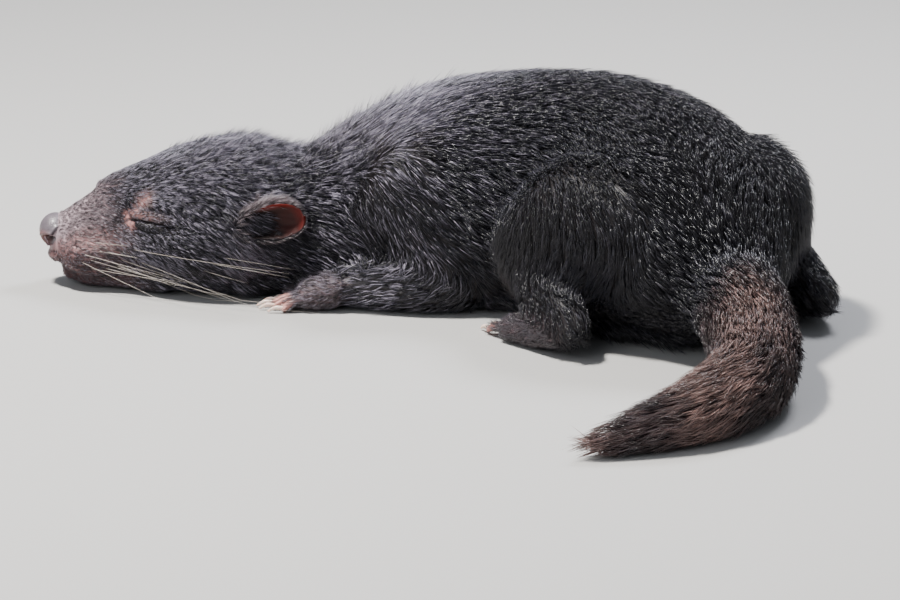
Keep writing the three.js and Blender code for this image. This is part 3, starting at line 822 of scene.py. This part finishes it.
coat_look, paint, shader = new_finish("devil fur")
tuft_colour = paint.node("Attribute", {"attribute_name": "fur"})
dress(shader, {
    "Base Color": tuft_colour,
    "Roughness": 0.31,
    "Specular IOR Level": 0.5,
    "Sheen Weight": 0.05,
    "Sheen Tint": (0.75, 0.78, 1.0, 1),
})

# A tuft's five corners are its root, three round its middle and its tip, each with a shade of its own: the
# root painted darker as painted shade down in the coat, the tip painted lighter as painted light.
tuft_faces = np.array([[0, 2, 1], [0, 3, 2], [0, 1, 3], [4, 1, 2], [4, 2, 3], [4, 3, 1]])
# Painted shade at the root and painted light at the tip
corner_light_and_shade = np.array([0.4, 1.0, 1.0, 1.0, 1.5])
# How much of the painted sheen each corner of a tuft takes, most at the tip
corner_sheen = np.array([0.1, 0.7, 0.7, 0.7, 1.0])
tufts_per_lock = 9
root_sunk, tip_clear, middle_clear = 0.25 * mm, 0.35 * mm, 0.6 * mm
chart_patch = 0.003 * np.array([[-0.5, 0], [0, -0.5], [0, 0.5], [0.1, 0], [0.5, 0]])
sparser = 1
skin_ground = {
    "corners": skin_corners,
    "normals": skin_normals,
    "triangles": skin_triangles,
    "area": triangle_area,
    "lie": lie,
    "length": hair_length,
    "width": hair_width,
    "lift": lift,
    "crowd": crowd,
    "colour": fur_colour,
    "glint_and_pale_hair": glint_and_pale_hair,
    "shine": shine,
    "painted sheen": sheen_colour,
    "ruffle": ruffle,
    "along": places,
    "round": np.arctan2(heights - 40, rights) / (2 * math.pi) + 0.5,
}


def blend_rows(values, corners, shares):
    """A field's values at places on the skin, from its values at the corners of their triangles."""
    shares = shares.reshape(shares.shape + (1,) * (values.ndim - 1))
    return (values[corners] * shares).sum(1)


def add_coat(name, ground, chosen, tufts, seed):
    """A piece of the coat: tufts rooted at random on the chosen triangles of its ground."""
    draw = np.random.default_rng(seed)
    tufts //= sparser
    rows = np.flatnonzero(chosen)
    weight = ground["area"][rows] * ground["crowd"][ground["triangles"][rows]].mean(1)
    picked = rows[np.searchsorted(np.cumsum(weight) / weight.sum(), draw.random(tufts))]
    corners = ground["triangles"][picked]
    shares = draw.random((tufts, 2))
    folded = shares.sum(1) > 1
    shares[folded] = 1 - shares[folded]
    shares = np.column_stack([1 - shares.sum(1), shares])
    fields = [field for field in ground if field not in ("triangles", "area")]
    there = {field: blend_rows(ground[field], corners, shares) for field in fields}
    root, up, along = there["corners"], unit(there["normals"]), unit(there["lie"])
    length = there["length"] * mm * draw.uniform(0.7, 1.2, tufts)
    width = there["width"] * mm * draw.uniform(0.7, 1.25, tufts)

    # Locks: each tuft's tip is drawn towards the line of the nearest lock
    lock_count = max(tufts // tufts_per_lock, 1)
    lock_tree = KDTree(lock_count)
    for lock, place in enumerate(root[:lock_count].tolist()):
        lock_tree.insert(place, lock)
    lock_tree.balance()
    lock = np.array([lock_tree.find(place)[1] for place in root.tolist()])
    # Tufts that take the painted sheen; on the muzzle, the lids and the feet they are pale frosted hairs
    pale = draw.random(tufts) < there["glint_and_pale_hair"] * draw.uniform(0.15, 1.85, lock_count)[lock]
    stands = draw.random(lock_count)[lock] < there["ruffle"]
    rise = there["lift"] * draw.uniform(0.6, 1.5, tufts)
    rise = np.where(stands, rise + draw.uniform(0.1, 0.55, lock_count)[lock], rise)
    tip_rise = rise * np.where(stands, 0.85, 0.4)
    width *= np.where(stands, 0.7, 1)
    to_lock = root[lock] - root
    to_lock -= up * (to_lock * up).sum(1)[:, None]
    lean = draw.normal(0, 0.09, (lock_count, 1))[lock] + draw.normal(0, 0.07, (tufts, 1))
    across = np.cross(up, along)
    along = along * np.cos(lean) + across * np.sin(lean)
    across = np.cross(up, along)
    root_way = along * np.cos(rise * 1.5)[:, None] + up * np.sin(rise * 1.5)[:, None]
    tip_way = along * np.cos(tip_rise)[:, None] + up * np.sin(tip_rise)[:, None]
    middle = root + root_way * length[:, None] * 0.4
    tip = middle + tip_way * length[:, None] * 0.6
    tip += to_lock * draw.uniform(0.35, 0.85, (tufts, 1))
    middle += to_lock * 0.22
    root = root - up * root_sunk
    tip[:, 2] = np.maximum(tip[:, 2], tip_clear)
    middle[:, 2] = np.maximum(middle[:, 2], middle_clear)
    half = (across * width[:, None]) / 2
    points = np.stack([root, middle - half, middle + half, middle + up * width[:, None] * 0.38, tip], 1)

    mesh = bpy.data.meshes.new(name)
    mesh.vertices.add(tufts * 5)
    mesh.vertices.foreach_set("co", points.ravel())
    faces = (np.arange(tufts)[:, None, None] * 5 + tuft_faces[None]).reshape(-1, 3)
    mesh.loops.add(faces.size)
    mesh.loops.foreach_set("vertex_index", faces.ravel())
    mesh.polygons.add(len(faces))
    mesh.polygons.foreach_set("loop_start", np.arange(len(faces)) * 3)
    shade = np.clip(draw.normal(1, 0.34, lock_count)[lock] * draw.uniform(0.6, 1.4, tufts), 0.4, 2)
    colours = there["colour"][:, None] * corner_light_and_shade[None, :, None] * shade[:, None, None]
    # The painted sheen laid over the pale tufts, strongest at their tips
    sheen_shares = (pale * there["shine"] * draw.uniform(0.15, 1, tufts))[:, None] * corner_sheen
    colours += sheen_shares[:, :, None] * (there["painted sheen"][:, None] - colours)
    add_colours(mesh, "fur", colours.reshape(-1, 3))
    # A map named OFBake: a small patch for each tuft, where its root lies along and round the piece
    chart = mesh.uv_layers.new(name="OFBake")
    span = ground["along"][ground["triangles"][rows]]
    chart_u = (there["along"] - span.min()) / (span.max() - span.min())
    chart_points = np.stack([chart_u, there["round"]], 1)[:, None] * 0.99 + 0.005 + chart_patch[None]
    chart.data.foreach_set("uv", chart_points.reshape(-1, 2)[faces.ravel()].ravel())
    mesh.update()
    mesh.validate()
    mesh.polygons.foreach_set("use_smooth", np.ones(len(faces), bool))
    mesh.materials.append(coat_look)
    coat = bpy.data.objects.new(name, mesh)
    bpy.context.scene.collection.objects.link(coat)
    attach(coat, "root")


middle_s = places[skin_triangles].mean(1)
middle_t = rights[skin_triangles].mean(1)
on_limb = limb_share[skin_triangles].mean(1) > 0.5
trunk = ~on_limb
trunk_left, trunk_right = trunk & (middle_t < 0), trunk & (middle_t >= 0)
past_nose, past_tail = -50, 750
coat_pieces = [
    # name, part of the body, from and to along the spine, how many tufts, slot
    ("coat_face_left", trunk_left, past_nose, 72, 20000, "black_fur"),
    ("coat_face_right", trunk_right, past_nose, 72, 20000, "black_fur"),
    ("coat_head_left", trunk_left, 72, 142, 25000, "black_fur"),
    ("coat_head_right", trunk_right, 72, 142, 25000, "black_fur"),
    ("coat_neck", trunk, 142, 200, 22000, "black_fur"),
    ("coat_chest", trunk, 200, 262, 22000, "black_fur"),
    ("coat_belly", trunk, 262, 345, 23000, "black_fur"),
    ("coat_rump", trunk, 345, nose_to_rump, 24000, "black_fur"),
    ("coat_tail", trunk, nose_to_rump, past_tail, 16000, "tail_fur"),
    ("coat_forelegs", on_limb, past_nose, mid_body, 18000, "black_fur"),
    ("coat_hind_legs", on_limb, mid_body, past_tail, 22000, "black_fur"),
]
first_coat_seed = 40
for row, (name, part, first, last, tufts, slot) in enumerate(coat_pieces):
    chosen = part & (middle_s >= first) & (middle_s < last)
    add_coat(name, skin_ground, chosen, tufts, first_coat_seed + row)


# Nose pad
# A bare, moist, pebbled pad, grey above and reddish brown in front, with a comma-shaped nostril curling up
# to the back on each side and a groove down its middle. The nostrils are painted near-black as painted
# shade inside them.
deselect_all()
bpy.ops.mesh.primitive_uv_sphere_add(segments=112, ring_count=72, radius=1, rotation=(0, math.pi / 2, 0))
nose = bpy.context.object
nose.name = nose.data.name = "nose_pad"
bpy.ops.object.transform_apply(location=False, rotation=True, scale=False)
pad_middle, pad_halves = np.array([8.4, 0, 29.5]), np.array([8.7, 10.4, 9.4])
pad = corners_of(nose.data)
pad_out = unit(pad / pad_halves)
pad = pad * pad_halves + pad_middle
pad_s, pad_t, pad_z = pad.T
pad_aside = np.abs(pad_t)
nostril = np.hypot((pad_s - 4.6) / 3.3, (pad_z - 25.6) / 2.9) + 1.2 * ease(3.2 - pad_aside, -0.5, 0.8)
tail_off, tail_along = off_line([(5.0, 26.4), (8.0, 27.6), (10.6, 31.0)], pad_s, pad_z)
off_side = ease(pad_aside, 3.0, 4.4)
pad_rise = (
    -5.0 * np.exp(-nostril**4) * off_side
    - 2.8 * hump(tail_off, 0, 1.5 - 0.7 * tail_along) * off_side * (1 - ease(tail_along, 0.85, 1.0))
    + 0.7 * hump(nostril, 1.35, 0.3) * off_side * ease(pad_z, 24.5, 27)
    + 0.6 * hump(tail_off, 2.2, 0.9) * off_side
    - 0.8 * hump(pad_t, 0, 0.55) * (1 - ease(pad_s, 4.5, 8)) * ease(pad_z, 17, 20)
    - 0.35 * hump(pad_t, 0, 2.2) * ease(pad_z, 33, 37)
)
pad = pad + pad_out * pad_rise[:, None]
set_corners(nose.data, pad * mm + on_body(0, 0, 0))
only(nose)
bpy.ops.object.shade_smooth()
pad_colours = {
    "pad": (0.100, 0.083, 0.096),
    "front": (0.130, 0.050, 0.043),
    # Near-black painted shade inside the nostrils
    "nostril": (0.010, 0.005, 0.005),
    "edge": (0.110, 0.070, 0.076),
}
# Painted shade: the nostrils and their curled tails are painted near-black
tail_share = hump(tail_off, 0, 1.2) * (1 - ease(tail_along, 0.85, 1.0))
inside = np.clip(np.exp(-nostril**4) + tail_share, 0, 1) * off_side
add_colours(nose.data, "pad", painted(pad_colours["pad"], [
    ((1 - ease(pad_s, 3, 9)) * (1 - ease(pad_z, 27.5, 32.5)), pad_colours["front"]),
    (ease(pad_s, 10, 13), pad_colours["edge"]),
    (inside, pad_colours["nostril"]),
]))
pad_look, paint, shader = new_finish("nose leather")
pebble_size = {"Vector": paint.object_place(), "Scale": 1500}
pebbles = paint.node("TexVoronoi", {"feature": "SMOOTH_F1"}, pebble_size)
wet = paint.noise(500, 3)
pad_colour = paint.node("Attribute", {"attribute_name": "pad"})
dress(shader, {
    "Base Color": paint.scaled(pad_colour, 0.75 + 0.5 * wet),
    "Roughness": 0.34 + 0.22 * wet,
    "Normal": paint.bumped(1 - pebbles, 0.55, 0.35 * mm),
    "Coat Weight": 0.15,
    "Coat Roughness": 0.2,
})
nose.data.materials.append(pad_look)
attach(nose, "root")
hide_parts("nose")


# Ears
# Thin cups of bare skin laid back along the neck, painted dark inside as painted shade and painted
# blood-red where light comes through the tip and the rim. Each is grown from its solid, rounded, and ribbed
# inside.
ear_colours = {
    "inside": (0.006, 0.0025, 0.0025),
    "deep": (0.026, 0.003, 0.002),
    "tip": (0.085, 0.005, 0.003),
    "strip": (0.230, 0.013, 0.008),
    "rim": (0.220, 0.050, 0.040),
    "outside": (0.036, 0.025, 0.028),
}
ear_look, paint, shader = new_finish("ear skin")
ear_colour = paint.node("Attribute", {"attribute_name": "ear"})
ear_veins = paint.noise(260, 5, stretch=(0.35, 1, 1), roughness=0.6)
dress(shader, {
    "Base Color": paint.scaled(ear_colour, 0.55 + 0.9 * ear_veins),
    "Roughness": 0.55 + 0.2 * ear_veins,
    "Specular IOR Level": 0.25,
    "Normal": paint.bumped(ear_veins, 0.4, 0.5 * mm),
})
ear_tufts, ear_seed = 4500, 60
for label, side in (("left", -1), ("right", 1)):
    ear = joined([copy_of(f"ear_{label}")], f"ear_skin_{label}")
    apply_modifier(ear, "REMESH", mode="VOXEL", voxel_size=0.5 * mm)
    shell = spread(corners_of(ear.data), neighbours_of(ear.data), 9)
    set_corners(ear.data, shell)
    shell_s, shell_t = along_spine(shell)
    shell_z, shell_t = shell[:, 2] / mm, shell_t * side
    # The cup's middle line runs out and up to its tip; a corner faces in where its normal points to it
    cup_marks = [108, 114, 123, 133, 142, 150]
    cup_t = np.interp(shell_s, cup_marks, [43, 44.5, 47, 50, 52.5, 54]) + 2.5
    cup_z = np.interp(shell_s, cup_marks, [41, 42, 45, 47.5, 49, 50])
    turned = spine_turn(shell_s)
    shell_normals = normals_of(ear.data)
    normal_t = (shell_normals[:, 0] * np.sin(turned) + shell_normals[:, 1] * np.cos(turned)) * side
    to_middle = unit(np.column_stack([cup_t - shell_t, cup_z - shell_z]))
    facing_in = ease(to_middle[:, 0] * normal_t + to_middle[:, 1] * shell_normals[:, 2], -0.1, 0.35)
    over_cup = shell_z - cup_z
    rib = 0.27 * np.sin(over_cup * 1.25 + (shell_s - 120) * 0.16) * facing_in
    rib *= ease(shell_s, 112, 118) * (1 - ease(shell_s, 136, 144))
    shell = shell + shell_normals * (rib * mm)[:, None]
    set_corners(ear.data, shell)
    only(ear)
    bpy.ops.object.shade_smooth()
    high_up = ease(over_cup, 5, 9.5) * ease(shell_s, 118, 128)
    tip_share = ease(shell_s + 0.35 * over_cup, 139, 148)
    deep_share = ease(shell_s + 0.2 * over_cup, 122, 142)
    rim_share = (1 - np.abs(2 * facing_in - 1)) * ease(shell_s, 112, 120)
    # Painted shade inside the cup, passing into a painted red glow of light through its rear, its upper
    # strip and its rim
    add_colours(ear.data, "ear", painted(ear_colours["outside"], [
        (facing_in, ear_colours["inside"]),
        (facing_in * deep_share, ear_colours["deep"]),
        (facing_in * tip_share, ear_colours["tip"]),
        (facing_in * high_up * 0.9, ear_colours["strip"]),
        (rim_share * np.maximum(high_up, tip_share) * 0.8, ear_colours["rim"]),
    ]))
    ear.data.materials.append(ear_look)
    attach(ear, "root")
    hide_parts(f"ear_{label}")
    # Dark hair on the outside of the cup, browner along its upper edge and longest in front
    ear_triangles, ear_area = triangles_of(ear.data, shell)
    ear_normals = normals_of(ear.data)
    ear_lie = np.column_stack([np.cos(turned), -np.sin(turned), np.full(len(shell), 0.22)])
    ear_lie = unit(ear_lie - ear_normals * (ear_lie * ear_normals).sum(1)[:, None])
    outside = 1 - ease(facing_in, 0.1, 0.6)
    above_ear = ease(over_cup, 3, 9) * (1 - tip_share)
    everywhere = np.ones(len(shell))
    ear_ground = {
        "corners": shell,
        "normals": ear_normals,
        "triangles": ear_triangles,
        "area": ear_area,
        "lie": ear_lie,
        "length": np.interp(shell_s, [108, 120, 132, 146], [10, 9, 6, 2.5]),
        "width": 0.36 * everywhere,
        "lift": 0.26 * everywhere,
        "crowd": outside + 0.03 * (1 - deep_share),
        # Painted sheen in the frost colour on a share of the ear's hair
        "glint_and_pale_hair": 0.3 * outside,
        "along": shell_s,
        "shine": 0.8 * everywhere,
        "ruffle": 0.08 * everywhere,
        "painted sheen": np.broadcast_to(fur_colours["frost"], (len(shell), 3)),
        "colour": painted((0.024, 0.019, 0.022), [(above_ear, (0.075, 0.055, 0.059))]),
        "round": np.arctan2(over_cup, shell_t - cup_t) / (2 * math.pi) + 0.5,
    }
    whole_ear = np.ones(len(ear_triangles), bool)
    add_coat(f"coat_ear_{label}", ear_ground, whole_ear, ear_tufts, ear_seed + side)


# Claws
# Slim curved claws of pale horn streaked with pinkish brown along the grain, one row to a foot, smoothed
# from their solids.
claw_look, paint, shader = new_finish("claw horn")
grain = paint.noise(700, 3, stretch=(0.2, 1, 1))
dress(shader, {
    "Base Color": paint.mixed(grain.spread_over(0.35, 0.7), (0.80, 0.66, 0.56, 1), (0.62, 0.42, 0.36, 1)),
    "Roughness": 0.25 + 0.2 * grain,
    "Normal": paint.bumped(grain, 0.2, 0.2 * mm),
    "Subsurface Weight": 0.15,
    "Subsurface Scale": 0.002,
})
for row, kind, count in (("foreclaws", "foreclaw", 5), ("hind_claws", "hind_claw", 4)):
    for label in ("left", "right"):
        claw_nodes = [f"{kind}_{label}_{number}" for number in range(1, count + 1)]
        claws = joined([copy_of(node) for node in claw_nodes], f"{row}_{label}")
        apply_modifier(claws, "DISPLACE", strength=0.18 * mm, mid_level=0)
        apply_modifier(claws, "SUBSURF", levels=2, render_levels=2)
        only(claws)
        bpy.ops.object.shade_smooth()
        claws.data.materials.append(claw_look)
        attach(claws, "root")
        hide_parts(*claw_nodes)


# Whiskers
# Long pale whiskers sweep back and down from rows on the lip and a few on the cheek, with short dark ones
# over the eye and on top of the muzzle. Each is a closed taper of four sides.
whisker_rows = [
    # first place (s, z), last place (s, z), how many, length in mm, outward, downward, thickness, pale
    ((22, 26), (44, 31), 5, 50, 0.62, 0.05, 0.20, True),
    ((20, 22), (46, 26), 5, 80, 0.66, 0.13, 0.23, True),
    ((22, 18), (47, 21), 5, 104, 0.70, 0.16, 0.25, True),
    ((28, 14), (48, 16), 4, 84, 0.85, 0.08, 0.22, True),
    ((62, 51), (67, 50), 2, 22, 0.50, -0.35, 0.18, False),
    ((86, 20), (98, 26), 3, 54, 0.55, 0.08, 0.22, True),
    ((16, 33), (30, 42), 5, 17, 0.55, -0.80, 0.18, False),
]
pale_tint, dark_tint = (0.36, 0.32, 0.28), (0.02, 0.016, 0.016)
surface = BVHTree.FromPolygons(skin_corners.tolist(), skin_triangles.tolist())
beyond_head = 80
stations = np.linspace(0, 1, 9)
whisker_points, whisker_faces, whisker_tints = [], [], []
draw = np.random.default_rng(77)
for first, last, count, length, outward, downward, thick, pale in whisker_rows:
    for side in (-1, 1):
        for share in np.linspace(0, 1, count):
            s = first[0] + (last[0] - first[0]) * share + draw.uniform(-0.8, 0.8)
            z = first[1] + (last[1] - first[1]) * share + draw.uniform(-0.8, 0.8)
            start = Vector(on_body(s, side * beyond_head, z))
            hit, normal, _, _ = surface.ray_cast(start, Vector((0, -side, 0)))
            reach = length * draw.uniform(0.55, 1.1) * (0.75 + 0.35 * share)
            out = outward * draw.uniform(0.5, 1.5)
            down = downward + draw.uniform(-0.14, 0.12)
            way = np.array([1.0, side * out, -down])
            way /= np.linalg.norm(way)
            sag = draw.uniform(0.02, 0.16)
            bend = np.array([0.25, -side * draw.uniform(0.1, 0.4) * out, -0.20 * abs(down) - sag]) * reach
            path = np.array(hit)[None] / mm + np.outer(stations * reach, way) + np.outer(stations**2, bend)
            path -= np.array(normal) * 0.8
            path[:, 2] = np.maximum(path[:, 2], 0.8 + 1.5 * stations)
            radius = thick / 2 * (1 - stations) ** 0.7 + 0.03
            forward = unit(np.gradient(path, axis=0))
            beside = unit(np.cross(forward, (0, 0, 1)))
            above = np.cross(beside, forward)
            start_at = len(whisker_points)
            for at, size, right_of, top_of in zip(path, radius, beside, above):
                whisker_points += [at + right_of * size, at + top_of * size]
                whisker_points += [at - right_of * size, at - top_of * size]
            end = start_at + (len(stations) - 1) * 4
            for low in range(start_at, end, 4):
                for k in range(4):
                    after = (k + 1) % 4
                    whisker_faces.append((low + k, low + after, low + 4 + after, low + 4 + k))
            whisker_faces.append((start_at + 3, start_at + 2, start_at + 1, start_at))
            whisker_faces.append((end, end + 1, end + 2, end + 3))
            tint = np.array(pale_tint if pale else dark_tint) * draw.uniform(0.35, 1.2)
            whisker_tints += [tint] * (4 * len(stations))
mesh = bpy.data.meshes.new("whiskers")
mesh.from_pydata((np.array(whisker_points) * mm).tolist(), [], whisker_faces)
whiskers = bpy.data.objects.new("whiskers", mesh)
bpy.context.scene.collection.objects.link(whiskers)
only(whiskers)
bpy.ops.object.mode_set(mode="EDIT")
bpy.ops.mesh.select_all(action="SELECT")
bpy.ops.mesh.normals_make_consistent(inside=False)
bpy.ops.object.mode_set(mode="OBJECT")
bpy.ops.object.shade_smooth()
add_colours(mesh, "whisker", np.array(whisker_tints))
whisker_look, paint, shader = new_finish("whisker")
dress(shader, {
    "Base Color": paint.node("Attribute", {"attribute_name": "whisker"}),
    "Roughness": 0.32,
})
mesh.materials.append(whisker_look)
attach(whiskers, "root")
